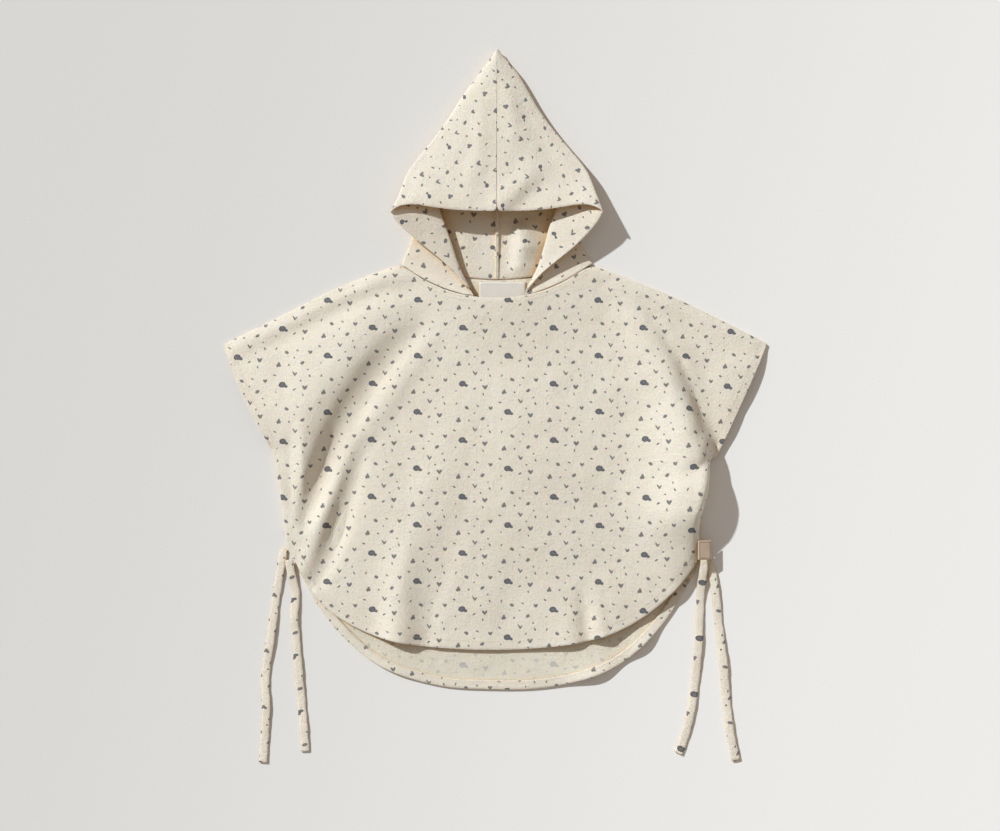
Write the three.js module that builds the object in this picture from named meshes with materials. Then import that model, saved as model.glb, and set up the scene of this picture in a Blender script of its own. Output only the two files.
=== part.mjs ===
import * as THREE from 'three';

// A toddler's hooded bath poncho, lying face up on a surface. Millimetres: X to the right as seen
// from above, Y toward the point of the hood, Z up from the surface. Each piece of cloth is a thin
// wall whose middle surface is worked out as a grid of points.

const CLOTH = 1.5; // thickness of one layer
const SEAM = 0.3; // gap between two pieces where they are sewn together
const NECK_CLEAR = 1; // the same along Y at the curved neckline, whose sides run steeply
const LAYER = CLOTH + SEAM; // from the middle of one layer to the middle of the next
const REST = CLOTH / 2; // middle of the layer that lies on the surface
const FRONT_LEVEL = REST + LAYER + 1.9; // middle of the front panel where nothing lifts it

const NECK_HALF = 104.3; // from the centre to the end of the shoulder
const NECK_SIDE = 116; // Y of the end of the shoulder
const NECK_FRONT = 78.7; // Y of the front neckline at the centre
const NECK_BACK = 98.5; // Y of the back neckline at the centre
const HOOD_CENTRE = 1.4; // X of the hood's centre seam
const HEM_BAND = 10; // width of a turned hem
const HEM_GAP = 0.1; // more than a seam's gap, where the front lies over the waves of the back hem
const SEAM_FADE = 28; // the front drops to a shoulder seam over this distance
const CREST_FADE = 70; // and rises to a side's crest over this one

const COLOUR = 0xe9e0ce;
const cloth = () => new THREE.MeshStandardMaterial({ color: COLOUR, roughness: 0.95, metalness: 0 });

// Outlines seen from above, each a smooth curve through its points, from left to right.
const EDGES = {
  shoulderLeft: [[-300, 27.7], [-255, 49.5], [-168, 92.5], [-NECK_HALF, NECK_SIDE]],
  shoulderRight: [[NECK_HALF, NECK_SIDE], [184, 85.5], [262, 48], [299.7, 28.5]],
  frontHem: [[-230.7, -195], [-220, -213], [-196, -254], [-154, -284.5], [-105, -300.5], [-46, -307.5],
    [27, -308], [101, -299], [151, -280], [192, -248], [218, -217], [226, -199]],
  backHem: [[-230, -195], [-220, -215], [-195, -262], [-163.5, -299.5], [-126, -328], [-65, -348],
    [-18, -352], [62, -349.5], [132, -328], [179, -287], [208, -244.5], [224, -214], [228, -199]],
};
// The sleeve hems, from the shoulder down, and the way from each into the sleeve.
const SLEEVE_HEMS = {
  left: { points: [[-300, 27.7], [-277.5, -31], [-252.6, -78]], inward: [0.9, 0.43] },
  right: { points: [[299.7, 28.5], [272.5, -33.5], [243, -97]], inward: [-0.9, 0.43] },
};

// The body's sides from the underarm down to the slit. The cloth rises to a crest, turns down at
// its outermost line and meets the back panel at the seam. X of each, and the crest's height.
const SIDES = {
  left: [
    { y: -78, crest: -247, out: -252.6, seam: -251, height: 5.5 },
    { y: -90, crest: -240, out: -245.5, seam: -244, height: 6 },
    { y: -122, crest: -233.5, out: -239, seam: -237.5, height: 7 },
    { y: -156, crest: -228.5, out: -234, seam: -232.5, height: 7 },
    { y: -191, crest: -225, out: -230.6, seam: -229.5, height: 5.5 },
  ],
  right: [
    { y: -101, crest: 229, out: 235, seam: 233, height: 29 },
    { y: -112, crest: 229.5, out: 234.5, seam: 228, height: 37 },
    { y: -128, crest: 229.5, out: 234, seam: 225, height: 41 },
    { y: -148, crest: 224, out: 228.5, seam: 223, height: 39 },
    { y: -166, crest: 218, out: 222.5, seam: 223.5, height: 33 },
    { y: -194, crest: 217, out: 222, seam: 224.5, height: 19 },
  ],
};

// The panels' grids: rows down a sleeve hem and down a side, columns along each part of the top edge.
const SLEEVE_ROWS = 9;
const SIDE_ROWS = 9;
const SHOULDER_COLUMNS = 12;
const NECKLINE_COLUMNS = 14;
const BORDER_COLUMNS = 3; // between a sleeve hem or a side and the rest of the panel
const SLIT_COLUMNS = 5; // the back's turned hem begins this many columns in, past the slit
const HEM_CORNER = 8; // length of hem that belongs to each border
const BACK_INSET = 4; // least width of the back's border, from the seam to the next columns

// Broad swellings of the front: centre, radii and height. turn is the long axis from Y, in degrees.
const FRONT_MOUNDS = [
  { name: 'neckline', x: 3, y: 78, wide: 70, long: 34, turn: 0, height: 7 },
  { name: 'body', x: 48, y: -105, wide: 165, long: 150, turn: 0, height: 12 },
  { name: 'left sleeve', x: -244, y: -20, wide: 46, long: 50, turn: -24, height: 7.5 },
  { name: 'left side', x: -222, y: -115, wide: 20, long: 45, turn: -8, height: 4 },
  { name: 'right sleeve', x: 270, y: -14, wide: 32, long: 54, turn: 24, height: 7 },
];
// Folds of the front. points: X, Y and height (down if negative) along the fold; before and after:
// how far it reaches on its left and on its right, looking along it.
const FRONT_FOLDS = [
  { name: 'left sleeve crest', before: 22, after: 30,
    points: [[-120, 74, 0], [-158, 44, 3], [-186, 12, 6.5], [-203, -22, 8], [-212, -60, 7], [-216, -100, 4],
      [-226, -140, 1]] },
  { name: 'left drag crease', before: 8, after: 24,
    points: [[-93, 46, 0], [-120, 23, -2], [-139, -4, -3.5], [-161, -38, -5], [-175, -62, -6],
      [-181, -88, -6], [-191, -118, -6], [-204, -142, -5], [-217, -159, -4], [-230, -171, -2]] },
  { name: 'left body ridge', before: 14, after: 9,
    points: [[-118, 8, 0], [-148, -34, 3.5], [-163, -62, 5], [-170, -92, 6], [-180, -122, 6], [-193, -152, 5],
      [-208, -182, 3]] },
  { name: 'left lower trough', before: 18, after: 10,
    points: [[-146, -62, 0], [-158, -98, -3], [-170, -140, -4], [-182, -178, -4], [-189, -206, 0]] },
  { name: 'right side lift', before: 9, after: 50,
    points: [[160, 70, 0], [182, 34, 5], [200, 6, 9], [212, -32, 14], [221, -68, 22], [229, -100, 30],
      [230, -128, 33], [219, -165, 27], [215, -192, 15], [208, -222, 8.5]] },
  { name: 'right drag crease', before: 15, after: 5,
    points: [[160, 62, 0], [179, 36, -1.5], [194, 17, -3], [211, -4, -4], [222, -33, -5], [230, -67, -6],
      [238, -92, -6]] },
  { name: 'left hem wave', before: 13, after: 20,
    points: [[-98, -150, 0], [-102, -215, 4], [-104, -262, 6], [-104, -306, 8]] },
  { name: 'middle hem wave', before: 10, after: 22,
    points: [[84, -215, 0], [87, -262, 3.5], [88, -305, 5]] },
  { name: 'right hem wave', before: 22, after: 12,
    points: [[118, -225, 0], [121, -262, 4.5], [124, -296, 7]] },
  { name: 'left sleeve ripple', before: 9, after: 9,
    points: [[-246, 40, 0], [-236, 0, -3], [-222, -40, 0]] },
  { name: 'shoulder drag', before: 8, after: 8,
    points: [[104, 97, 0], [120, 100, -2.5], [142, 106, 0]] },
];
// Waves of the back hem.
const BACK_MOUNDS = [
  { name: 'left wave', x: -116, y: -342, wide: 22, long: 16, turn: 0, height: 3 },
  { name: 'middle right wave', x: 112, y: -343, wide: 22, long: 17, turn: 0, height: 9 },
  { name: 'right wave', x: 169, y: -309, wide: 18, long: 13, turn: 40, height: 10 },
];

// The hood above the face opening: half widths, height of its top at the seam, of its side edge,
// and of the back layer.
const HOOD_ROWS = [
  { y: 171, left: 115, right: 114.6, top: 28, edge: 32, back: 0.75 },
  { y: 183, left: 107, right: 109.5, top: 27.5, edge: 27, back: 0.75 },
  { y: 196, left: 103, right: 104.5, top: 26.5, edge: 22, back: 0.75 },
  { y: 212, left: 97.5, right: 99, top: 25, edge: 18, back: 0.75 },
  { y: 232, left: 83, right: 84, top: 23, edge: 15, back: 0.75 },
  { y: 254, left: 66.5, right: 66.5, top: 21, edge: 13, back: 0.75 },
  { y: 276, left: 51, right: 50, top: 19, edge: 12, back: 0.75 },
  { y: 297, left: 39, right: 37, top: 17, edge: 11, back: 0.75 },
  { y: 316, left: 25, right: 27, top: 15, edge: 10, back: 1.5 },
  { y: 332, left: 13.5, right: 16.5, top: 13.5, edge: 9.5, back: 3 },
  { y: 344, left: 7, right: 8.5, top: 12, edge: 9, back: 4.5 },
  { y: 351.6, left: 3, right: 3.4, top: 11, edge: 8.5, back: 6 },
];
const HOOD_FOLD = { full: 200, gone: 262 }; // Y where the pleat at the side is whole, and is gone
// The visor, the top layer's free edge: Y at each distance from the centre.
const VISOR = [
  { out: 0, y: 172.3 },
  { out: 40, y: 173.3 },
  { out: 70, y: 176.5 },
  { out: 92, y: 180 },
  { out: 104, y: 179 },
  { out: 111, y: 176 },
  { out: 115.5, y: 171 },
];
// The hood beside the face opening: the free edge (lip), the crease where it turns under, the neck
// fold where it turns back to the back layer; distances from the centre, Y and Z.
const HOOD_SIDES = {
  left: [
    { lip: [115, 171, 28], crease: [62, 171, 15], neck: [88, 171] },
    { lip: [112.5, 164, 26.5], crease: [58.5, 162, 15], neck: [89, 163] },
    { lip: [104, 155, 24], crease: [54.5, 151, 14.5], neck: [90.5, 155] },
    { lip: [89, 142.5, 20.5], crease: [50.5, 140, 14], neck: [92.5, 148] },
    { lip: [74, 130.4, 18], crease: [47, 128, 13.5], neck: [95, 140] },
    { lip: [58, 118, 16.5], crease: [42.5, 115, 13], neck: [97.5, 132.5] },
    { lip: [44, 103.5, 15], crease: [36.5, 101, 12.5], neck: [100.5, 126] },
    { lip: [34.5, 92.5, 13.5], crease: [30, 91, 12], neck: [103, 120.5] },
    { lip: [25, 80.3, 12], crease: [28.5, 80.5, 11.5], neck: [104.9, 116.4] },
  ],
  right: [
    { lip: [114.6, 171, 28], crease: [64, 171, 15], neck: [87, 171] },
    { lip: [112, 163.5, 26.5], crease: [59, 160, 15], neck: [88, 163] },
    { lip: [104.5, 154, 24], crease: [56, 151, 14.5], neck: [89, 155] },
    { lip: [91, 139.5, 20.5], crease: [53.5, 139, 14], neck: [90.5, 147] },
    { lip: [76, 127, 18], crease: [49.5, 127, 13.5], neck: [92.5, 139] },
    { lip: [61, 115.5, 16.5], crease: [46, 114, 13], neck: [95, 131.5] },
    { lip: [46.5, 103.5, 15], crease: [40, 102, 12.5], neck: [99, 125] },
    { lip: [37, 91.5, 13.5], crease: [33, 90.5, 12], neck: [102, 120] },
    { lip: [28.6, 80.3, 12], crease: [32, 80.5, 11.5], neck: [104.9, 116.4] },
  ],
};
// The hood's seam edges stand up this far inside its back, at the neckline and from the visor on.
const SEAM_ALLOWANCE = { neckline: 2, visor: 5 };
const STEPS_PER_KNOT = 2; // grid steps between two control points of a hood section
const CREASE_ROUND = 2; // radius of the crease beside the face opening
const SIDE_ROUND = 2.4; // radius of the hood's side edge
const UNDER_CLEAR = 1.2; // more than a seam's gap, between the back layer and the one folded onto it

const TIE = { width: 10, thickness: 2.4, step: 9 };
// The ties' middle lines, from the slit down to the free end.
const TIES = {
  tie_left_front: [[-227.8, -209.6, 5.6], [-224.5, -228, 3.6], [-220.5, -246, 2], [-222.4, -272, 3.4],
    [-220, -298, 2], [-217, -335, 2.6], [-214, -368, 1.6], [-211.5, -398, 2.2], [-210, -421, 1.5]],
  tie_left_back: [[-233.4, -198, 1.6], [-238.5, -228, 2.4], [-243, -257, 1.6], [-247.5, -292, 3],
    [-254, -340, 1.6], [-253.2, -372, 2.6], [-255, -410, 1.6], [-256.7, -433, 2]],
  tie_right_front: [[230.3, -201.4, 8.1], [229.2, -216, 8.1], [226.8, -236, 4.2], [225.4, -258, 1.6],
    [223.3, -304, 3.2], [220, -342, 1.6], [214.5, -380, 2.4], [207, -409, 1.5], [201, -423, 2.2]],
  tie_right_back: [[232.6, -201, 1.6], [236.6, -216, 1.6], [241.2, -238, 2.8], [246, -282, 1.6],
    [251, -324, 3.4], [254.5, -366, 1.8], [258.5, -400, 2.8], [265, -431, 1.8]],
};
const LABEL = { left: -18.5, right: 33.3, top: 96.5, bottom: 58, thickness: 0.6 };
const TAG = { left: 221, right: 237.4, top: -187.6, bottom: -208.7, z: 16.8, thickness: 1.2, droop: 0.42 };

const smooth = (edge0, edge1, x) => THREE.MathUtils.smoothstep(x, edge0, edge1);
const point = (x, y, z = 0) => new THREE.Vector3(x, y, z);

function curveThrough(points) {
  return new THREE.CatmullRomCurve3(points.map((p) => point(...p)), false, 'centripetal');
}

function tableAt(rows, key, at, value) {
  // A value of a table at a place between two of its rows, which run up or down.
  const up = rows[rows.length - 1][key] > rows[0][key];
  const passed = rows.findIndex((row) => (up ? row[key] >= at : row[key] <= at));
  const next = passed < 0 ? rows.length - 1 : Math.max(1, passed);
  const [a, b] = [rows[next - 1], rows[next]];
  const share = THREE.MathUtils.clamp((at - a[key]) / (b[key] - a[key]), 0, 1);
  return THREE.MathUtils.lerp(a[value], b[value], share);
}

// Heights of the panels

function moundsAt(mounds, x, y) {
  return mounds.reduce((sum, mound) => {
    const angle = THREE.MathUtils.degToRad(mound.turn);
    const dx = x - mound.x;
    const dy = y - mound.y;
    const across = dx * Math.cos(angle) - dy * Math.sin(angle);
    const along = dx * Math.sin(angle) + dy * Math.cos(angle);
    return sum + mound.height * Math.exp(-((across / mound.wide) ** 2) - (along / mound.long) ** 2);
  }, 0);
}

function foldAt(fold, x, y) {
  // The nearest place on the fold's line says how high it is and on which side of it the point lies.
  let best = { distance: Infinity };
  for (let i = 1; i < fold.points.length; i += 1) {
    const [ax, ay, az] = fold.points[i - 1];
    const [bx, by, bz] = fold.points[i];
    const [dx, dy] = [bx - ax, by - ay];
    const share = THREE.MathUtils.clamp(((x - ax) * dx + (y - ay) * dy) / (dx * dx + dy * dy), 0, 1);
    const [gx, gy] = [x - ax - share * dx, y - ay - share * dy];
    const distance = Math.hypot(gx, gy);
    if (distance < best.distance) {
      const reach = dx * gy - dy * gx > 0 ? fold.before : fold.after;
      best = { distance, reach, height: THREE.MathUtils.lerp(az, bz, share) };
    }
  }
  return best.height * Math.exp(-((best.distance / best.reach) ** 2));
}

function backHeight(x, y) {
  return REST + moundsAt(BACK_MOUNDS, x, y);
}

function frontHeight(x, y) {
  const folds = FRONT_FOLDS.reduce((sum, fold) => sum + foldAt(fold, x, y), 0);
  const height = FRONT_LEVEL + moundsAt(FRONT_MOUNDS, x, y) + folds;
  return Math.max(height, backHeight(x, y) + LAYER + HEM_GAP);
}

const frontNeckY = (x) => NECK_FRONT + (NECK_SIDE - NECK_FRONT) * Math.min(1, Math.abs(x) / NECK_HALF) ** 2.2;
const backNeckY = (x) => NECK_BACK + (NECK_SIDE - NECK_BACK) * Math.min(1, Math.abs(x) / NECK_HALF) ** 2;

// A closed wall from a grid of middle points; a cell with a missing corner is left out

function cellsOf(rows) {
  const cells = [];
  for (let r = 0; r + 1 < rows.length; r += 1) {
    for (let c = 0; c + 1 < rows[r].length; c += 1) {
      const corners = [[r, c], [r + 1, c], [r + 1, c + 1], [r, c + 1]];
      if (corners.every(([i, j]) => rows[i][j])) cells.push(corners);
    }
  }
  return cells;
}

function normalsOf(rows) {
  const normals = rows.map((row) => row.map(() => new THREE.Vector3()));
  cellsOf(rows).forEach((corners) => {
    const [a, b, c, d] = corners.map(([i, j]) => rows[i][j]);
    const facing = c.clone().sub(a).cross(d.clone().sub(b)).normalize();
    corners.forEach(([i, j]) => normals[i][j].add(facing));
  });
  return normals.map((row) => row.map((normal) => normal.normalize()));
}

function wall(name, rows, { normals = normalsOf(rows), fitVertex = (p) => p } = {}) {
  const cells = cellsOf(rows);
  const positions = [];
  const vertexOf = new Map();
  const side = (i, j, sign) => {
    const key = `${i},${j},${sign}`;
    if (!vertexOf.has(key)) {
      const p = rows[i][j].clone().addScaledVector(normals[i][j], (sign * CLOTH) / 2);
      p.z = Math.max(0, p.z);
      vertexOf.set(key, positions.push(fitVertex(p)) - 1);
    }
    return vertexOf.get(key);
  };
  const triangles = [];
  const quad = (a, b, c, d) => triangles.push([a, b, c], [a, c, d]);
  const used = new Set(cells.flatMap((k) => k.map((p, n) => `${p}>${k[(n + 1) % 4]}`)));
  cells.forEach((corners) => {
    const [a, b, c, d] = corners;
    quad(...[a, b, c, d].map(([i, j]) => side(i, j, 1)));
    quad(...[a, d, c, b].map(([i, j]) => side(i, j, -1)));
    corners.forEach((from, n) => {
      const to = corners[(n + 1) % 4];
      if (used.has(`${to}>${from}`)) return;
      quad(side(...from, -1), side(...to, -1), side(...to, 1), side(...from, 1));
    });
  });
  const geometry = new THREE.BufferGeometry();
  const coordinates = positions.flatMap((p) => p.toArray());
  geometry.setAttribute('position', new THREE.Float32BufferAttribute(coordinates, 3));
  geometry.setIndex(triangles.flat());
  geometry.computeVertexNormals();
  const mesh = new THREE.Mesh(geometry, cloth());
  mesh.name = name;
  return mesh;
}

// Front and back panels

function borderPoints(side, row) {
  // Four points of a grid row from the inside to its end: across a sleeve's turned hem, or over a
  // side's crest, round its outermost line and down to the seam.
  if (row <= SLEEVE_ROWS) {
    const { points, inward } = SLEEVE_HEMS[side];
    const edge = curveThrough(points).getPointAt(row / SLEEVE_ROWS);
    return [1, 2 / 3, 1 / 3, 0].map((k) => edge.clone().addScaledVector(point(...inward), HEM_BAND * k));
  }
  const table = SIDES[side];
  const first = side === 'left' ? SLEEVE_ROWS : SLEEVE_ROWS + 1;
  const share = (row - first) / (SLEEVE_ROWS + SIDE_ROWS - first);
  const y = THREE.MathUtils.lerp(table[0].y, table[table.length - 1].y, share);
  const [crest, out, seam, height] = ['crest', 'out', 'seam', 'height'].map((v) => tableAt(table, 'y', y, v));
  const seamZ = REST + LAYER;
  return [
    point(crest, y, height),
    point(out, y, THREE.MathUtils.lerp(seamZ, height, 0.75)),
    point(THREE.MathUtils.lerp(out, seam, 0.45), y, THREE.MathUtils.lerp(seamZ, height, 0.3)),
    point(seam, y, seamZ),
  ];
}

function topEdge(neckY) {
  // The top row between the two sleeve hems: shoulder, neckline, shoulder.
  const shoulder = (name, from, to) => {
    const curve = curveThrough(EDGES[name]);
    const share = (d) => d / curve.getLength();
    const [a, b] = [share(from), 1 - share(to)];
    return Array.from({ length: SHOULDER_COLUMNS + 1 }, (_, i) => (
      curve.getPointAt(THREE.MathUtils.lerp(a, b, i / SHOULDER_COLUMNS))));
  };
  const neckline = Array.from({ length: NECKLINE_COLUMNS - 1 }, (_, i) => {
    const x = THREE.MathUtils.lerp(-NECK_HALF, NECK_HALF, (i + 1) / NECKLINE_COLUMNS);
    return point(x, neckY(x));
  });
  return [...shoulder('shoulderLeft', HEM_BAND, 0), ...neckline, ...shoulder('shoulderRight', 0, HEM_BAND)];
}

function panelGrid(neckY, hemName) {
  // Points seen from above. A patch between the four inner borders, then a band along the hem.
  const hem = curveThrough(EDGES[hemName]);
  const corner = HEM_CORNER / hem.getLength();
  const top = topEdge(neckY);
  const last = top.length - 1;
  const lastRow = SLEEVE_ROWS + SIDE_ROWS;
  const flat = (p) => p.clone().setZ(0);
  const hemShare = (c) => THREE.MathUtils.lerp(corner, 1 - corner, c / last);
  const bandPoint = (c) => {
    if (c === 0) return flat(borderPoints('left', lastRow)[0]);
    if (c === last) return flat(borderPoints('right', lastRow)[0]);
    const along = hem.getTangentAt(hemShare(c));
    return hem.getPointAt(hemShare(c)).addScaledVector(point(-along.y, along.x), HEM_BAND);
  };
  const bottom = top.map((_, c) => bandPoint(c));
  const rows = [];
  for (let r = 0; r <= lastRow; r += 1) {
    const v = r / lastRow;
    const left = borderPoints('left', r);
    const right = borderPoints('right', r);
    const inner = top.map((p, c) => {
      const u = c / last;
      const q = p.clone().multiplyScalar(1 - v).addScaledVector(bottom[c], v);
      q.addScaledVector(flat(left[0]), 1 - u).addScaledVector(flat(right[0]), u);
      q.addScaledVector(top[0], -(1 - u) * (1 - v)).addScaledVector(top[last], -u * (1 - v));
      return q.addScaledVector(bottom[0], -(1 - u) * v).addScaledVector(bottom[last], -u * v);
    });
    rows.push([...left.slice(1).reverse(), ...inner, ...right.slice(1)]);
  }
  const hemPoints = (shares) => shares.map((share) => hem.getPointAt(share));
  const ends = [0, corner / 3, (2 * corner) / 3];
  const farEnds = ends.map((share) => 1 - share).reverse();
  rows.push(hemPoints([...ends, ...top.map((_, c) => hemShare(c)), ...farEnds]));
  return rows;
}

function frontGrid() {
  const rows = panelGrid(frontNeckY, 'frontHem');
  const lastRow = SLEEVE_ROWS + SIDE_ROWS;
  const lastColumn = rows[0].length - 1;
  const seamZ = REST + LAYER;
  const fade = (distance, reach) => Math.max(0, 1 - distance / reach) ** 2;
  const flatDistance = (a, b) => Math.hypot(a.x - b.x, a.y - b.y);
  const rise = (p, z) => z - frontHeight(p.x, p.y);
  return rows.map((row, r) => row.map((p, c) => {
    const onSide = r > SLEEVE_ROWS && r <= lastRow;
    const edge = c < BORDER_COLUMNS || c > lastColumn - BORDER_COLUMNS;
    if (onSide && edge) return p;
    let z = frontHeight(p.x, p.y);
    const start = rows[0][c];
    const sewn = Math.abs(start.x) >= NECK_HALF - 0.1;
    if (sewn) z += fade(flatDistance(p, start), SEAM_FADE) * rise(start, seamZ);
    if (onSide) {
      ['left', 'right'].forEach((side) => {
        const crest = borderPoints(side, r)[0];
        z += fade(flatDistance(p, crest), CREST_FADE) * rise(crest, crest.z);
      });
    }
    return point(p.x, p.y, Math.max(z, seamZ));
  }));
}

function backGrid() {
  return panelGrid(backNeckY, 'backHem').map((row, r) => row.map((p, c) => {
    // The back's sides end at the seam, under the front's folded side.
    const steps = Math.min(c, row.length - 1 - c);
    const beside = r > SLEEVE_ROWS && r <= SLEEVE_ROWS + SIDE_ROWS;
    const onSide = beside && steps <= BORDER_COLUMNS;
    let { x } = p;
    if (onSide) {
      const [crest, , , seam] = borderPoints(p.x < 0 ? 'left' : 'right', r);
      const inner = Math.sign(seam.x) * Math.min(Math.abs(crest.x), Math.abs(seam.x) - BACK_INSET);
      x = THREE.MathUtils.lerp(seam.x, inner, steps / BORDER_COLUMNS);
    } else if (beside) {
      const [, , , seam] = borderPoints(p.x < 0 ? 'left' : 'right', r);
      const widest = Math.abs(seam.x) - BACK_INSET * (steps - BORDER_COLUMNS + 1);
      x = Math.sign(x) * Math.min(Math.abs(x), widest);
    }
    return point(x, p.y, backHeight(x, p.y));
  }));
}

function backHem(rows) {
  // The turned edge lies on the back panel's last band, between the two slits.
  const band = (grid) => grid.slice(-2).map((row) => row.slice(SLIT_COLUMNS, -SLIT_COLUMNS));
  const normals = band(normalsOf(rows));
  const lift = (p, normal) => p.clone().addScaledVector(normal, LAYER);
  const lifted = band(rows).map((row, r) => row.map((p, c) => lift(p, normals[r][c])));
  return wall('back_hem', lifted, { normals });
}

// Hood halves

function hoodSection(controls) {
  const curve = new THREE.CatmullRomCurve3(controls, false, 'centripetal');
  const steps = STEPS_PER_KNOT * (controls.length - 1);
  return Array.from({ length: steps + 1 }, (_, i) => curve.getPoint(i / steps));
}

function pleatControls({ back, neck, crease, lip, seamY, fold, flange }) {
  // Back layer, neck fold, layer under the crease, crease, and the layer on top out to the lip.
  const [neckX, neckY] = neck;
  const [creaseX, creaseY, creaseZ] = crease;
  const [lipX, lipY, lipZ] = lip;
  const seamX = SEAM / 2 + CLOTH / 2;
  const turn = Math.sign(lipX - creaseX) * Math.min(CREASE_ROUND, Math.abs(lipX - creaseX) / 2);
  const under = back + LAYER + UNDER_CLEAR;
  const creaseLow = creaseZ - 2 * CREASE_ROUND;
  const folded = [
    point(neckX * 0.45, THREE.MathUtils.lerp(seamY, neckY, 0.3), back),
    point(neckX - 8, THREE.MathUtils.lerp(seamY, neckY, 0.85), back),
    point(neckX - 1.6, neckY, back + 0.1),
    point(neckX, neckY, (back + under) / 2),
    point(neckX - 1.6, neckY, under - 0.1),
    point(THREE.MathUtils.lerp(neckX, creaseX, 0.5), THREE.MathUtils.lerp(neckY, creaseY, 0.5),
      THREE.MathUtils.lerp(under, creaseLow, 0.5)),
    point(creaseX + turn, creaseY, creaseLow),
    point(creaseX, creaseY, creaseZ - CREASE_ROUND),
    point(creaseX + turn, creaseY, creaseZ),
    point(THREE.MathUtils.lerp(creaseX, lipX, 0.45), THREE.MathUtils.lerp(creaseY, lipY, 0.45),
      THREE.MathUtils.lerp(creaseZ, lipZ, 0.4)),
    point(lipX, lipY, lipZ),
  ];
  const flat = [0.28, 0.5, 0.56, 0.62, 0.68, 0.74, 0.8, 0.86, 0.91, 0.96, 1].map((k) => (
    point(lipX * k, lipY, back + (lipZ - back) * smooth(0.6, 1, k))));
  return [
    point(seamX, seamY, back + flange),
    point(seamX, seamY, back + flange * 0.35),
    point(seamX + 2, seamY, back),
    ...folded.map((p, i) => flat[i].clone().lerp(p, fold)),
  ];
}

function topControls(half, lipZ, edgeZ, topZ, rise, rowY) {
  // Round the side edge and back over the top to the centre seam; rise lifts the visor's rows.
  const round = Math.min(SIDE_ROUND, half * 0.35);
  const shares = [0.93, 0.8, 0.6, 0.35, 0.12, 0];
  const end = VISOR[VISOR.length - 1];
  const yAt = (x) => rowY + rise * (tableAt(VISOR, 'out', x, 'y') - end.y);
  const outer = [
    point(half + round * 0.5, rowY, (lipZ + edgeZ) / 2),
    point(half - round * 0.2, yAt(half - 1), edgeZ),
  ];
  return [...outer, ...shares.map((k) => {
    const x = Math.max(SEAM / 2, half * k);
    return point(x, yAt(x * (end.out / half)), THREE.MathUtils.lerp(topZ, edgeZ, k * k));
  })];
}

function hoodHalf(name, side, sideRowsTable, widthKey) {
  const rows = [];
  const place = (p) => point(HOOD_CENTRE + side * p.x, p.y, p.z);
  const lower = [...sideRowsTable].reverse().slice(0, -1);
  lower.forEach(({ lip, crease, neck }, n) => {
    const seamY = THREE.MathUtils.lerp(NECK_BACK + NECK_CLEAR, HOOD_ROWS[0].y, n / lower.length);
    const flange = THREE.MathUtils.lerp(SEAM_ALLOWANCE.neckline, SEAM_ALLOWANCE.visor, n / lower.length);
    const controls = pleatControls({ back: REST, neck, crease, lip, seamY, fold: 1, flange });
    const section = hoodSection(controls);
    if (n === 0) section.forEach((p, i) => fitNeckline(p, i, side));
    rows.push(section.map(place));
  });
  const { crease, neck, lip } = sideRowsTable[0];
  const span = HOOD_ROWS[HOOD_ROWS.length - 1].y - HOOD_ROWS[0].y;
  HOOD_ROWS.forEach((row) => {
    const half = row[widthKey];
    const fold = 1 - smooth(HOOD_FOLD.full, HOOD_FOLD.gone, row.y);
    const roomy = Math.min(1, half / 60);
    const lipZ = row.edge - 4 * roomy;
    const drift = Math.max(0, row.y - HOOD_ROWS[0].y);
    const controls = pleatControls({
      back: row.back,
      neck: [neck[0] - drift * 0.1, row.y],
      crease: [crease[0] + drift * 0.3, row.y, Math.min(crease[2], lipZ - 1)],
      lip: [half, row.y, row === HOOD_ROWS[0] ? lip[2] : lipZ],
      seamY: row.y,
      fold,
      flange: Math.min(SEAM_ALLOWANCE.visor, (row.top - row.back) * 0.35),
    });
    const rise = 1 - (row.y - HOOD_ROWS[0].y) / span;
    const section = hoodSection(controls);
    const lipPoint = controls[controls.length - 1];
    const over = hoodSection([lipPoint, ...topControls(half, lipPoint.z, row.edge, row.top, rise, row.y)]);
    rows.push([...section, ...over.slice(1)].map(place));
  });
  const columns = rows[rows.length - 1].length;
  const filled = rows.map((row) => Array.from({ length: columns }, (_, i) => row[i] ?? null));
  const seamPlane = HOOD_CENTRE + (side * SEAM) / 2;
  const fitVertex = (p) => {
    if (side * (p.x - seamPlane) < 0) p.x = seamPlane;
    return p;
  };
  return wall(name, filled, { fitVertex });
}

function fitNeckline(p, index, side) {
  // The hood's lowest row follows the two necklines, just clear of them.
  const x = HOOD_CENTRE + side * p.x;
  const neckFold = STEPS_PER_KNOT * 6;
  p.y = (index < neckFold ? backNeckY(x) : frontNeckY(x)) + NECK_CLEAR;
  if (index > neckFold + STEPS_PER_KNOT) p.z = frontHeight(x, frontNeckY(x));
}

// Ties, label and tag

function tie(name, route) {
  const { width, thickness, step } = TIE;
  const curve = curveThrough(route);
  const section = new THREE.Shape(Array.from({ length: 8 }, (_, i) => {
    const angle = (i + 0.5) * (Math.PI / 4);
    const across = Math.sign(Math.sin(angle)) * Math.min(1, Math.abs(Math.sin(angle)) * 1.08);
    return new THREE.Vector2((Math.cos(angle) * thickness) / 2 / Math.cos(Math.PI / 8), (across * width) / 2);
  }));
  const geometry = new THREE.ExtrudeGeometry(section, {
    steps: Math.round(curve.getLength() / step), extrudePath: curve, bevelEnabled: false,
  });
  const mesh = new THREE.Mesh(geometry, cloth());
  mesh.name = name;
  return mesh;
}

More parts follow.
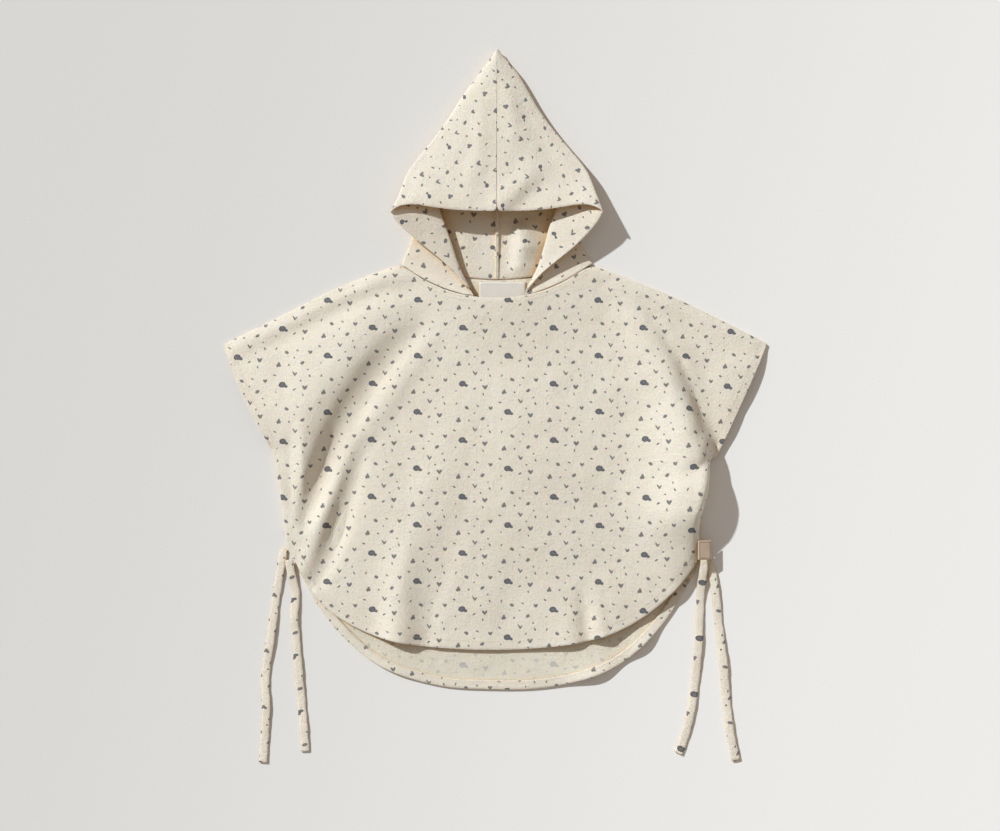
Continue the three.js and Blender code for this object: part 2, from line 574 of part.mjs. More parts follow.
function neckLabel() {
  const { left, right, top, bottom, thickness } = LABEL;
  const geometry = new THREE.BoxGeometry(right - left, top - bottom, thickness);
  const mesh = new THREE.Mesh(geometry, new THREE.MeshStandardMaterial({ color: 0xe2dcd6, roughness: 0.8 }));
  mesh.name = 'neck_label';
  mesh.position.set((left + right) / 2, (top + bottom) / 2, CLOTH + SEAM + thickness / 2);
  return mesh;
}

function sideTag() {
  const { left, right, top, bottom, z, thickness, droop } = TAG;
  const geometry = new THREE.BoxGeometry(right - left, top - bottom, thickness);
  const mesh = new THREE.Mesh(geometry, new THREE.MeshStandardMaterial({ color: 0xe1bea0, roughness: 0.75 }));
  mesh.name = 'side_tag';
  mesh.position.set((left + right) / 2, (top + bottom) / 2, z);
  mesh.rotation.y = droop;
  return mesh;
}

const poncho = new THREE.Group();
const back = backGrid();
poncho.add(
  wall('front_panel', frontGrid()),
  wall('back_panel', back),
  backHem(back),
  hoodHalf('hood_left', -1, HOOD_SIDES.left, 'left'),
  hoodHalf('hood_right', 1, HOOD_SIDES.right, 'right'),
  neckLabel(),
  sideTag(),
  ...Object.entries(TIES).map(([name, route]) => tie(name, route)),
);

export default poncho;
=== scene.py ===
import math

import bmesh
import bpy
import numpy as np
from mathutils import Matrix, Vector
from mathutils.bvhtree import BVHTree


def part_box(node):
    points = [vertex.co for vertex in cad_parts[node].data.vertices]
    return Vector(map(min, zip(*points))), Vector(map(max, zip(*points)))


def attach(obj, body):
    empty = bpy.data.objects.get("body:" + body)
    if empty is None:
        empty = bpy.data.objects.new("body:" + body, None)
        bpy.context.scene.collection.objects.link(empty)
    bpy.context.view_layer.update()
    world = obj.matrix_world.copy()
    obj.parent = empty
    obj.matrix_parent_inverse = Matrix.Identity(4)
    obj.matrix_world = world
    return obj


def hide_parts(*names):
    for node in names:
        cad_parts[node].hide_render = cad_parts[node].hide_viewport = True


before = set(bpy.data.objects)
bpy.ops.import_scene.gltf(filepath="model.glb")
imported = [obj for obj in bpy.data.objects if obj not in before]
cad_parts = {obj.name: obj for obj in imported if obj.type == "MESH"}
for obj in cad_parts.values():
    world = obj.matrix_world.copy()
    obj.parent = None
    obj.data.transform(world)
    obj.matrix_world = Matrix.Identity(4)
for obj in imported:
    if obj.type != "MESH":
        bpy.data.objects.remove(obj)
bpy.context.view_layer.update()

# Camera. It looks straight down on the garment, which lies face up with its hood away from the
# viewer. The frame is 1.1 m wide at the surface.
camera_data = bpy.data.cameras.new("camera_above")
camera_data.sensor_width = 36.0
camera_data.lens = 85.0
camera = bpy.data.objects.new("camera_above", camera_data)
camera.location = (0.0047, -0.0506, 2.605)
bpy.context.scene.collection.objects.link(camera)
bpy.context.scene.camera = camera

# Printed cotton. Both panels, the hood and the ties are cut from one cream cotton with a small
# slate-blue print of pebbles, leaves, hearts and dots, pressed on one side, so it shows faintly on
# the other. Each motif is a few ellipses in a tile that repeats with every second column moved up.
TILE = (0.050, 0.062)
PRINT_SHAPES = [
    # x and y from the tile's corner, half width, half height and turn in degrees
    {"motif": "pebble", "x": 13.0, "y": 15.0, "wide": 3.9, "high": 3.2, "turn": 10, "large": True},
    {"motif": "pebble point", "x": 16.6, "y": 13.4, "wide": 2.6, "high": 1.7, "turn": -20, "large": True},
    {"motif": "heart left", "x": 37.2, "y": 11.2, "wide": 1.4, "high": 2.9, "turn": 38, "large": False},
    {"motif": "heart right", "x": 38.9, "y": 11.2, "wide": 1.4, "high": 2.9, "turn": -38, "large": False},
    {"motif": "leaf pair a", "x": 26.0, "y": 27.0, "wide": 0.9, "high": 2.7, "turn": 30, "large": False},
    {"motif": "leaf pair b", "x": 28.0, "y": 26.2, "wide": 0.9, "high": 2.5, "turn": -35, "large": False},
    {"motif": "trefoil a", "x": 8.0, "y": 36.0, "wide": 1.6, "high": 1.8, "turn": 0, "large": False},
    {"motif": "trefoil b", "x": 10.1, "y": 36.3, "wide": 1.4, "high": 1.7, "turn": 20, "large": False},
    {"motif": "trefoil c", "x": 9.2, "y": 38.2, "wide": 1.4, "high": 1.7, "turn": -10, "large": False},
    {"motif": "pip", "x": 26.5, "y": 9.5, "wide": 0.9, "high": 2.0, "turn": -55, "large": False},
    {"motif": "pip", "x": 43.5, "y": 24.0, "wide": 0.9, "high": 1.8, "turn": 25, "large": False},
    {"motif": "pip", "x": 4.5, "y": 25.5, "wide": 0.9, "high": 1.8, "turn": 70, "large": False},
    {"motif": "dot", "x": 20.5, "y": 36.5, "wide": 1.1, "high": 1.1, "turn": 0, "large": False},
    {"motif": "dot", "x": 33.5, "y": 19.0, "wide": 1.0, "high": 1.0, "turn": 0, "large": False},
    {"motif": "bean", "x": 35.5, "y": 38.5, "wide": 2.6, "high": 1.7, "turn": 35, "large": False},
    {"motif": "bean", "x": 18.0, "y": 50.5, "wide": 2.5, "high": 1.7, "turn": -30, "large": False},
    {"motif": "small heart left", "x": 43.6, "y": 50.0, "wide": 1.2, "high": 2.3, "turn": 35, "large": False},
    {"motif": "small heart right", "x": 45.0, "y": 50.0, "wide": 1.2, "high": 2.3, "turn": -35, "large": False},
    {"motif": "pip", "x": 6.5, "y": 55.0, "wide": 0.8, "high": 1.7, "turn": -25, "large": False},
    {"motif": "pip", "x": 30.0, "y": 52.5, "wide": 0.8, "high": 1.8, "turn": 60, "large": False},
    {"motif": "dot", "x": 26.5, "y": 44.5, "wide": 0.9, "high": 0.9, "turn": 0, "large": False},
    {"motif": "dot", "x": 41.5, "y": 31.0, "wide": 0.9, "high": 1.0, "turn": 0, "large": False},
    {"motif": "dot", "x": 6.0, "y": 7.0, "wide": 0.8, "high": 0.9, "turn": 0, "large": False},
    {"motif": "pip", "x": 36.0, "y": 3.5, "wide": 0.8, "high": 1.6, "turn": 15, "large": False},
]


class Nodes:
    """Builds a material's nodes from short calls; a number or a colour may stand for a link."""

    def __init__(self, name):
        self.material = bpy.data.materials.new(name)
        self.material.use_nodes = True
        self.tree = self.material.node_tree
        self.surface = self.tree.nodes["Principled BSDF"]

    def link(self, source, socket):
        if isinstance(source, bpy.types.NodeSocket):
            self.tree.links.new(source, socket)
        else:
            socket.default_value = source

    def set(self, values):
        for name, value in values.items():
            self.link(value, self.surface.inputs[name])

    def add(self, kind, inputs=(), output=0, **settings):
        node = self.tree.nodes.new(kind)
        for key, value in settings.items():
            setattr(node, key, value)
        for key, source in dict(inputs).items():
            self.link(source, node.inputs[key])
        return node.outputs[output]

    def math(self, operation, *values):
        return self.add("ShaderNodeMath", enumerate(values), operation=operation)

    def between(self, low, high, value):
        """0 at low, 1 at high, soft in between."""
        inputs = {"Value": value, "From Min": low, "From Max": high}
        return self.add("ShaderNodeMapRange", inputs, interpolation_type="SMOOTHSTEP")

    def noise(self, where, scale, detail=2.0, rough=0.5):
        inputs = {"Vector": where, "Scale": scale, "Detail": detail, "Roughness": rough}
        return self.add("ShaderNodeTexNoise", inputs)

    def mix(self, share, one, other, blend="MIX"):
        node = self.tree.nodes.new("ShaderNodeMix")
        node.data_type, node.blend_type = "RGBA", blend
        self.link(share, node.inputs[0])
        self.link(one, node.inputs[6])
        self.link(other, node.inputs[7])
        return node.outputs[2]

    def bump(self, height, distance, normal=None):
        inputs = {"Height": height, "Distance": distance, "Strength": 1.0}
        if normal is not None:
            inputs["Normal"] = normal
        return self.add("ShaderNodeBump", inputs)


def print_masks(nodes, cloth, size, large_size):
    """How much of the print covers a point of the flat cloth: all motifs, and the large ones."""
    wide, high = (1000 * length for length in TILE)
    wobble = nodes.add("ShaderNodeTexNoise", {"Vector": cloth, "Scale": 900.0, "Detail": 1.0}, output=1)
    shift = nodes.add("ShaderNodeVectorMath", {0: wobble, 1: (0.5, 0.5, 0.5)}, operation="SUBTRACT")
    shift = nodes.add("ShaderNodeVectorMath", {0: shift, "Scale": 1.1}, operation="SCALE")
    in_mm = nodes.add("ShaderNodeVectorMath", {0: cloth, "Scale": 1000.0 / size}, operation="SCALE")
    parts = nodes.add("ShaderNodeSeparateXYZ", {0: in_mm})
    x, y = parts.node.outputs[0], parts.node.outputs[1]
    column = nodes.math("FLOOR", nodes.math("DIVIDE", x, wide))
    odd = nodes.math("FLOORED_MODULO", column, 2.0)
    moved_y = nodes.math("ADD", y, nodes.math("MULTIPLY", odd, high / 2))
    tile_x = nodes.math("FLOORED_MODULO", x, wide)
    tile_y = nodes.math("FLOORED_MODULO", moved_y, high)
    place = nodes.add("ShaderNodeCombineXYZ", {0: tile_x, 1: tile_y})
    place = nodes.add("ShaderNodeVectorMath", {0: place, 1: shift}, operation="ADD")
    nearest = {True: 9.0, False: 9.0}
    for shape in PRINT_SHAPES:
        large = shape["large"]
        grown = large_size if large else 1.0
        inputs = {
            "Vector": place,
            "Location": (shape["x"], shape["y"], 0.0),
            "Rotation": (0.0, 0.0, math.radians(shape["turn"])),
            "Scale": (shape["wide"] * grown, shape["high"] * grown, 1.0),
        }
        local = nodes.add("ShaderNodeMapping", inputs, vector_type="TEXTURE")
        away = nodes.add("ShaderNodeVectorMath", {0: local}, output=1, operation="LENGTH")
        nearest[large] = nodes.math("MINIMUM", away, nearest[large])
    large = nodes.between(1.06, 0.94, nearest[True])
    small = nodes.math("MULTIPLY", nodes.between(1.2, 0.75, nearest[False]), 0.88)
    heart = nodes.between(0.8, 0.3, nearest[True])
    return nodes.math("MAXIMUM", large, small), heart


def printed_cotton(name, side, print_size=1.0, large_size=1.0):
    """One side of the cloth: outside, or wrong side. Folds and hollows get painted shade, darker and
    warmer, that stands in for light that has passed through cream cotton or come back from it."""
    nodes = Nodes(name)
    cloth = nodes.add("ShaderNodeUVMap", uv_map="flat_cloth")
    broad = nodes.noise(cloth, 14.0, 2.0)
    slub = nodes.noise(cloth, 380.0, 2.0, 0.6)
    fine = nodes.noise(cloth, 900.0, 3.0, 0.65)
    threads = {"Vector": cloth, "Scale": 330.0, "Distortion": 1.5, "Detail": 2.0}
    warp = nodes.add("ShaderNodeTexWave", threads, output=1, bands_direction="X")
    weft = nodes.add("ShaderNodeTexWave", threads, output=1, bands_direction="Y")
    weave = nodes.math("ADD", warp, weft)
    if side == "outside":
        cream, shaded = (0.95, 0.885, 0.785, 1), (0.87, 0.79, 0.675, 1)
    else:
        cream, shaded = (0.90, 0.855, 0.745, 1), (0.82, 0.765, 0.645, 1)
    mottle = nodes.math("ADD", nodes.math("MULTIPLY", slub, 0.35), nodes.math("MULTIPLY", fine, 0.35))
    tone = nodes.between(0.28, 0.68, nodes.math("ADD", nodes.math("MULTIPLY", broad, 0.3), mottle))
    colour = nodes.mix(tone, shaded, cream)
    covered, middle = print_masks(nodes, cloth, print_size, large_size)
    grain = nodes.between(0.28, 0.5, nodes.noise(cloth, 1500.0, 2.0, 0.7))
    if side == "outside":
        slate = nodes.mix(middle, (0.036, 0.047, 0.075, 1), (0.080, 0.100, 0.145, 1))
        solid = nodes.math("ADD", nodes.math("MULTIPLY", grain, 0.3), 0.6)
        share = nodes.math("MULTIPLY", covered, solid)
    else:
        slate = (0.36, 0.39, 0.44, 1)
        share = nodes.math("MULTIPLY", covered, 0.5)
    colour = nodes.mix(share, colour, slate)
    # Painted shade: where the cloth is hidden by other cloth, its colour is darkened and warmed, standing in
    # for light that has passed through cream cotton or come back from it.
    open_sky = nodes.add("ShaderNodeAmbientOcclusion", {"Distance": 0.06}, output=1, samples=4)
    fold_shade_share = nodes.between(0.85, 0.3, open_sky)
    painted_fold_shade = nodes.mix(fold_shade_share, (1.0, 1.0, 1.0, 1), (0.97, 0.74, 0.44, 1))
    nodes.set({
        "Base Color": nodes.mix(1.0, colour, painted_fold_shade, "MULTIPLY"),
        "Roughness": 0.92,
        "Subsurface Weight": 0.2,
        "Subsurface Radius": (1.0, 0.62, 0.32),
        "Subsurface Scale": 0.002,
        "Sheen Weight": 0.12,
        "Sheen Roughness": 0.6,
        "Specular IOR Level": 0.2,
    })
    crumple = nodes.noise(cloth, 22.0, 2.0, 0.5)
    pucker = nodes.noise(cloth, 130.0, 2.0, 0.6)
    normal = None
    for height, distance in ((crumple, 0.0035), (pucker, 0.0004), (slub, 0.0007), (weave, 0.00014),
                             (fine, 0.0007)):
        normal = nodes.bump(height, distance, normal)
    nodes.set({"Normal": normal})
    return nodes.material


cotton_outside = printed_cotton("cotton_outside", "outside")
cotton_inside = printed_cotton("cotton_inside", "inside")
cotton_hood = printed_cotton("cotton_hood", "outside", print_size=1.04, large_size=0.62)

# Ties. Four narrow tubes of the same cotton, turned through and pressed flat, are sewn into the
# side slits, one to the front and one to the back on each side. They lie loose on the surface,
# and their ends are tucked in and stitched. Their lines are those of the solids, in metres.
TIE_WIDTH = 0.010
TIE_THICK = 0.0024
TIE_SIDES = 12
TIE_ROUTES = {
    "tie_left_front": [
        (-0.2278, -0.2096, 0.0056), (-0.2245, -0.228, 0.0036), (-0.2205, -0.246, 0.002),
        (-0.2224, -0.272, 0.0034), (-0.22, -0.298, 0.002), (-0.217, -0.335, 0.0026),
        (-0.214, -0.368, 0.0016), (-0.2115, -0.398, 0.0022), (-0.21, -0.421, 0.0015),
    ],
    "tie_left_back": [
        (-0.2334, -0.198, 0.0016), (-0.2385, -0.228, 0.0024), (-0.243, -0.257, 0.0016),
        (-0.2475, -0.292, 0.003), (-0.254, -0.34, 0.0016), (-0.2532, -0.372, 0.0026),
        (-0.255, -0.41, 0.0016), (-0.2567, -0.433, 0.002),
    ],
    "tie_right_front": [
        (0.2303, -0.2014, 0.0081), (0.2292, -0.216, 0.0081), (0.2268, -0.236, 0.0042),
        (0.2254, -0.258, 0.0016), (0.2233, -0.304, 0.0032), (0.22, -0.342, 0.0016),
        (0.2145, -0.38, 0.0024), (0.207, -0.409, 0.0015), (0.201, -0.423, 0.0022),
    ],
    "tie_right_back": [
        (0.2326, -0.201, 0.0016), (0.2366, -0.216, 0.0016), (0.2412, -0.238, 0.0028),
        (0.246, -0.282, 0.0016), (0.251, -0.324, 0.0034), (0.2545, -0.366, 0.0018),
        (0.2585, -0.4, 0.0028), (0.265, -0.431, 0.0018),
    ],
}


def smooth_path(points, per_span):
    """Points along a Catmull-Rom curve, spaced by the square root of the distances."""
    points = [Vector(p) for p in points]
    ends = [2 * points[0] - points[1], *points, 2 * points[-1] - points[-2]]
    path = []
    for a, b, c, d in zip(ends, ends[1:], ends[2:], ends[3:]):
        t1 = (b - a).length ** 0.5
        t2 = t1 + (c - b).length ** 0.5
        t3 = t2 + (d - c).length ** 0.5
        for step in range(per_span):
            t = t1 + (t2 - t1) * step / per_span
            ab = a.lerp(b, t / t1)
            bc = b.lerp(c, (t - t1) / (t2 - t1))
            cd = c.lerp(d, (t - t2) / (t3 - t2))
            abc = ab.lerp(bc, t / t2)
            bcd = bc.lerp(cd, (t - t1) / (t3 - t1))
            path.append(abc.lerp(bcd, (t - t1) / (t2 - t1)))
    return [*path, points[-1]]


def lengths_along(path):
    """How far along the path each of its points lies."""
    along = [0.0]
    for a, b in zip(path, path[1:]):
        along.append(along[-1] + (b - a).length)
    return along


def add_piece(name, bm, materials, smooth=True):
    mesh = bpy.data.meshes.new(name)
    bm.to_mesh(mesh)
    bm.free()
    for material in materials:
        mesh.materials.append(material)
    mesh.polygons.foreach_set("use_smooth", [smooth] * len(mesh.polygons))
    piece = bpy.data.objects.new(name, mesh)
    bpy.context.scene.collection.objects.link(piece)
    return piece


def sewn_tie(node, route, phase):
    """A flat tube whose edges wander a little and whose free end is tucked in."""
    path = smooth_path(route, 9)
    along = lengths_along(path)
    length = along[-1]
    sides = TIE_SIDES
    bm = bmesh.new()
    uv = bm.loops.layers.uv.new("flat_cloth")
    rings = []
    for i, centre in enumerate(path):
        ahead = (path[min(i + 1, len(path) - 1)] - path[max(i - 1, 0)]).normalized()
        across = ahead.cross(Vector((0, 0, 1))).normalized()
        up = across.cross(ahead)
        s = along[i]
        narrow = 1 - 0.09 * (1 + math.sin(s * 190 + phase)) / 2 - 0.05 * math.sin(s * 417 + 2 * phase)
        flare = 1 + 0.12 * max(0, 1 - (length - s) / 0.012)
        half = TIE_WIDTH / 2 * min(1.0, narrow * flare)
        ring = []
        for k in range(sides):
            angle = 2 * math.pi * k / sides
            side = math.cos(angle)
            rise = math.copysign(abs(math.sin(angle)) ** 0.75, math.sin(angle))
            dent = 1 - 0.35 * (1 - abs(side)) * (0.5 + 0.5 * math.sin(s * 260 + phase))
            ring.append(bm.verts.new(centre + across * side * half + up * rise * TIE_THICK / 2 * dent))
        rings.append(ring)
    for i, (ring, after) in enumerate(zip(rings, rings[1:])):
        for k in range(sides):
            face = bm.faces.new((ring[k], ring[(k + 1) % sides], after[(k + 1) % sides], after[k]))
            places = [(k, i), (k + 1, i), (k + 1, i + 1), (k, i + 1)]
            for loop, (around, row) in zip(face.loops, places):
                across_cloth = around * TIE_WIDTH * 2 / sides + phase * 0.013
                loop[uv].uv = (across_cloth, along[row] + phase * 0.031)
    bm.faces.new(reversed(rings[0]))
    bm.faces.new(rings[-1])
    bmesh.ops.recalc_face_normals(bm, faces=bm.faces)
    piece = add_piece(f"{node}_sewn", bm, [cotton_outside])
    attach(piece, "root")
    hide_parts(node)
    return piece


for number, (node, route) in enumerate(TIE_ROUTES.items()):
    sewn_tie(node, route, 1.0 + 1.7 * number)

# Back panel. It is cut in one with the half sleeves, longer than the front, and lies with its
# outside on the surface, so its wrong side shows in the neck opening and below the front hem.
# Its hem waves a little.
THICKEST_WALL = 0.00178
SHARPEST_FOLD = 1.2
NEARLY_FLAT = 0.6
CUT_EDGE_CREASE = 0.55
FINER_LEVELS = 2
VOTES = 12


def two_sides(bm, tree):
    """Gives each face the number of its side of the cloth, or nothing if it is on the cut edge."""
    side_of = {}
    edge_faces = set()
    for face in bm.faces:
        hit = tree.ray_cast(face.calc_center_median() - face.normal * 1e-5, -face.normal)
        if hit[0] is None or hit[3] > THICKEST_WALL:
            edge_faces.add(face)
    sizes = {}
    for first in bm.faces:
        if first in edge_faces or first in side_of:
            continue
        queue = [first]
        side_of[first] = first.index
        sizes[first.index] = 0
        while queue:
            face = queue.pop()
            sizes[first.index] += face.calc_area()
            for edge in face.edges:
                if edge.calc_face_angle(0) > SHARPEST_FOLD:
                    continue
                for other in edge.link_faces:
                    if other not in edge_faces and other not in side_of:
                        side_of[other] = first.index
                        queue.append(other)
    main = sorted(sizes, key=sizes.get)[-2:]
    side_of = {face: label for face, label in side_of.items() if label in main}
    found = True
    while found:
        found = False
        for edge in bm.edges:
            if edge.calc_face_angle(9) < NEARLY_FLAT:
                one, other = edge.link_faces
                if (one in side_of) != (other in side_of):
                    known, unknown = (one, other) if one in side_of else (other, one)
                    side_of[unknown] = side_of[known]
                    found = True
    return side_of, main


def cloth_from(node, name, above=True, outer=cotton_outside, inner=cotton_inside):
    """A finer, rounder copy of a wall of the model. Its outside, the side that a line from above or
    below meets first, gets the printed side; its flat cloth is worked out and laid over the print."""
    bm = bmesh.new()
    bm.from_mesh(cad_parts[node].data)
    bmesh.ops.remove_doubles(bm, verts=bm.verts, dist=2e-6)
    bmesh.ops.join_triangles(bm, faces=bm.faces, angle_face_threshold=1.2, angle_shape_threshold=3.1)
    bm.normal_update()
    bm.faces.ensure_lookup_table()
    tree = BVHTree.FromBMesh(bm)
    side_of, main = two_sides(bm, tree)
    low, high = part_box(node)
    votes = dict.fromkeys(main, 0)
    down = Vector((0, 0, -1 if above else 1))
    for i in range(VOTES):
        for j in range(VOTES):
            x = low.x + (high.x - low.x) * (i + 0.5) / VOTES
            y = low.y + (high.y - low.y) * (j + 0.5) / VOTES
            hit = tree.ray_cast(Vector((x, y, 0)) - down, down)
            if hit[0] is not None and bm.faces[hit[2]] in side_of:
                votes[side_of[bm.faces[hit[2]]]] += 1
    outside = max(main, key=votes.get)
    for face in bm.faces:
        face.material_index = 2 if face not in side_of else int(side_of[face] != outside)
    crease = bm.edges.layers.float.new("crease_edge")
    for edge in bm.edges:
        edge.seam = len({face.material_index for face in edge.link_faces}) > 1
        edge[crease] = CUT_EDGE_CREASE if edge.seam else 0.0
    piece = add_piece(name, bm, [outer, inner, outer])
    for layer in list(piece.data.uv_layers):
        piece.data.uv_layers.remove(layer)
    piece.data.uv_layers.new(name="flat_cloth")
    bpy.context.view_layer.objects.active = piece
    bpy.ops.object.mode_set(mode="EDIT")
    bpy.ops.mesh.select_all(action="SELECT")
    bpy.ops.uv.unwrap(method="ANGLE_BASED", margin=0.0)
    bpy.ops.object.mode_set(mode="OBJECT")
    lay_flat_cloth(piece)
    rounder = piece.modifiers.new("rounder", "SUBSURF")
    rounder.levels = rounder.render_levels = FINER_LEVELS
    shown = piece.evaluated_get(bpy.context.evaluated_depsgraph_get())
    finer_mesh = bpy.data.meshes.new_from_object(shown)
    piece.modifiers.clear()
    coarse, piece.data = piece.data, finer_mesh
    bpy.data.meshes.remove(coarse)
    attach(piece, "root")
    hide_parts(node)
    return piece


def lay_flat_cloth(piece):
    """Scales, turns and moves each side's flat cloth to lie under the part of it seen from above."""
    mesh = piece.data
    layer = mesh.uv_layers["flat_cloth"]
    flat = np.zeros(len(mesh.loops) * 2)
    layer.data.foreach_get("uv", flat)
    flat = flat[0::2] + 1j * flat[1::2]
    spots3 = np.array([mesh.vertices[loop.vertex_index].co for loop in mesh.loops])
    spots = spots3[:, 0] + 1j * spots3[:, 1]
    after = np.arange(len(mesh.loops)) + 1
    side = np.zeros(len(mesh.loops), int)
    weight = np.zeros(len(mesh.loops))
    for face in mesh.polygons:
        side[list(face.loop_indices)] = face.material_index
        weight[list(face.loop_indices)] = face.area * face.normal.z
        after[face.loop_indices[-1]] = face.loop_start
    for index in (0, 1):
        here = side == index
        facing = 1 if weight[here].sum() > 0 else -1
        heavy = np.where(here, np.maximum(weight * facing, 0), 0)
        laid = flat.real + 1j * flat.imag * facing
        middle, target = np.average(laid, weights=heavy), np.average(spots, weights=heavy)
        turn = np.sum(heavy * np.conj(laid - middle) * (spots - target))
        real, drawn = abs(spots3 - spots3[after]), abs(flat - flat[after])
        turn *= np.median((np.linalg.norm(real, axis=1) / np.maximum(drawn, 1e-9))[here]) / abs(turn)
        moved = here | (side == 2) if index == 0 else here
        flat[moved] = ((laid - middle) * turn + target)[moved]
    layer.data.foreach_set("uv", np.stack([flat.real, flat.imag], axis=1).ravel())


def fold_heights(spots, folds):
    """Sums the folds at each spot: a soft ridge or trough along each line, uneven on its two sides."""
    total = np.zeros(len(spots))
    for fold in folds:
        line = np.array(fold["line"], float) / 1000
        best = np.full(len(spots), 1e9)
        value = np.zeros(len(spots))
        for a, b in zip(line, line[1:]):
            run = b[:2] - a[:2]
            away = spots[:, :2] - a[:2]
            share = np.clip(away @ run / (run @ run), 0, 1)
            gap = away - share[:, None] * run
            distance = np.hypot(gap[:, 0], gap[:, 1])
            left = run[0] * gap[:, 1] - run[1] * gap[:, 0] > 0
            reach = np.where(left, fold["left"], fold["right"]) / 1000
            height = (a[2] + (b[2] - a[2]) * share) * np.exp(-((distance / reach) ** 2))
            closer = distance < best
            best = np.where(closer, distance, best)
            value = np.where(closer, height, value)
        total += value
    return total


def get_spots(piece):
    spots = np.zeros(len(piece.data.vertices) * 3)
    piece.data.vertices.foreach_get("co", spots)
    return spots.reshape(-1, 3)


def set_spots(piece, spots):
    piece.data.vertices.foreach_set("co", spots.ravel())
    piece.data.update()


back = cloth_from("back_panel", "back_cloth", above=False)

# Back hem. The back panel's lower edge is turned to the inside, so its printed side shows, and is
# sewn down with one row of stitches.
back_hem = cloth_from("back_hem", "back_hem_turned")

# Front panel. It is cut like the back but shorter, and lies on it. Where the child's arms and the
# underarm seams push the cloth together it falls in soft drags from the shoulders to the slits.
FRONT_FOLDS = [
    # each line: x, y and height in mm, from one end of the fold to the other; left and right: how far
    # the fold spreads, in mm, on either hand of someone who goes along the line
    {"fold": "left sleeve, lower crest", "left": 24, "right": 26, "line": [
        (-132, 66, 0), (-160, 42, -1.5), (-188, 12, -3.5), (-206, -24, -4.5), (-216, -64, -3.5),
        (-222, -104, -1.5), (-228, -140, 0)]},
    {"fold": "left drag, brow", "left": 17, "right": 44, "line": [
        (-88, 70, 0), (-112, 53, 5), (-133, 34, 8), (-153, 12, 11), (-178, -28, 12.5), (-198, -69, 12.5),
        (-214, -110, 11), (-230, -156, 8)]},
    {"fold": "left drag, valley", "left": 10, "right": 18, "line": [
        (-74, 58, -1), (-98, 27, -3.5), (-127, -11, -4.8), (-150, -47, -5.5), (-164, -75, -5.5),
        (-176, -106, -5), (-193, -140, -4.5), (-213, -168, -3)]},
    {"fold": "ridge right of the valley", "left": 10, "right": 36, "line": [
        (-60, 46, 0), (-88, 8, 2), (-114, -30, 2.5), (-138, -66, 1.5), (-156, -94, 0.5),
        (-174, -126, 0)]},
    {"fold": "second drag, brow", "left": 10, "right": 11, "line": [
        (-148, -52, 0), (-158, -74, 2.5), (-170, -106, 5), (-181, -140, 6.2), (-193, -178, 6.2),
        (-209, -220, 4)]},
    {"fold": "second drag, valley", "left": 8, "right": 27, "line": [
        (-138, -72, 0), (-151, -106, -2.6), (-161, -142, -3.4), (-170, -178, -4), (-182, -208, -4),
        (-196, -234, -3)]},
    {"fold": "left shoulder, seam ridge", "left": 5, "right": 7, "line": [
        (-288, 25, 0.8), (-232, 51, 1.2), (-170, 82, 1.3), (-122, 104, 1.4), (-98, 103, 0.8)]},
    {"fold": "left shoulder, dip", "left": 8, "right": 12, "line": [
        (-280, 12, -1), (-226, 37, -2.2), (-168, 66, -2.6), (-122, 86, -3), (-92, 89, -2)]},
    {"fold": "right shoulder, seam ridge", "left": 7, "right": 5, "line": [
        (108, 106, 0.8), (160, 88, 1.4), (224, 58, 1.4), (284, 29, 1)]},
    {"fold": "right shoulder, dip", "left": 10, "right": 8, "line": [
        (104, 84, -0.8), (156, 66, -1.4), (214, 38, -1.2), (268, 12, -0.6)]},
    {"fold": "left wave, crest", "left": 36, "right": 17, "line": [
        (-68, -70, 0), (-78, -140, 2.2), (-92, -205, 3.4), (-107, -262, 4.5), (-114, -300, 6.5),
        (-115, -312, 7)]},
    {"fold": "left wave, fall", "left": 10, "right": 44, "line": [
        (-30, -140, 0), (-50, -200, -1.6), (-70, -258, -2.8), (-78, -300, -3.4)]},
    {"fold": "right wave, fall", "left": 7, "right": 9, "line": [
        (92, -228, 0), (97, -262, -2.4), (101, -300, -3.2)]},
    {"fold": "right wave, crest", "left": 7, "right": 14, "line": [
        (106, -228, 0), (112, -262, 2), (118, -298, 3.5)]},
    {"fold": "right drag, brow", "left": 10, "right": 30, "line": [
        (148, 84, 0), (160, 60, 3), (176, 34, 6), (192, 8, 8), (206, -24, 8), (217, -62, 5)]},
    {"fold": "right drag, valley", "left": 6, "right": 14, "line": [
        (156, 80, 0), (170, 56, -3), (186, 32, -5.6), (202, 8, -7), (215, -22, -7), (228, -66, -5)]},
    {"fold": "right side, swell", "left": 20, "right": 46, "line": [
        (188, -24, 0), (194, -60, 1.5), (196, -96, 3), (194, -130, 3.4), (188, -165, 2.4),
        (180, -200, 1)]},
    {"fold": "neckline, drag", "left": 5, "right": 7, "line": [
        (104, 92, 0), (120, 96, -1.8), (146, 104, -0.5)]},
    {"fold": "middle, faint", "left": 26, "right": 30, "line": [
        (30, 30, 0), (22, -60, 0.9), (8, -150, 0.9), (-6, -230, 0)]},
    {"fold": "left of the middle, faint", "left": 24, "right": 24, "line": [
        (-46, 20, 0), (-50, -60, 1.1), (-64, -130, 0.8), (-80, -180, 0)]},
    {"fold": "lower middle, faint", "left": 22, "right": 20, "line": [
        (30, -200, 0), (20, -262, -1.4), (14, -300, -0.8)]},
    {"fold": "right sleeve, slope", "left": 34, "right": 46, "line": [
        (288, 8, -3), (268, -40, -4.5), (250, -80, -2)]},
]


LOWEST = 0.0004
NECKLINE = {"lowest": 0.0787, "rise": 0.0373, "half": 0.1043, "power": 2.2}
SHOULDER = {"height": 0.116, "from": 0.104, "fall": 0.452}
SEAM_FADE = 0.005
SIDE_SEAM = {"from_middle": 0.226, "fade": 0.014, "top": -0.045, "bottom": -0.24, "run_in": 0.04}


def above_surface(piece):
    """Keeps the cloth from sinking into the surface it lies on."""
    spots = get_spots(piece)
    spots[:, 2] = np.maximum(spots[:, 2], LOWEST)
    set_spots(piece, spots)


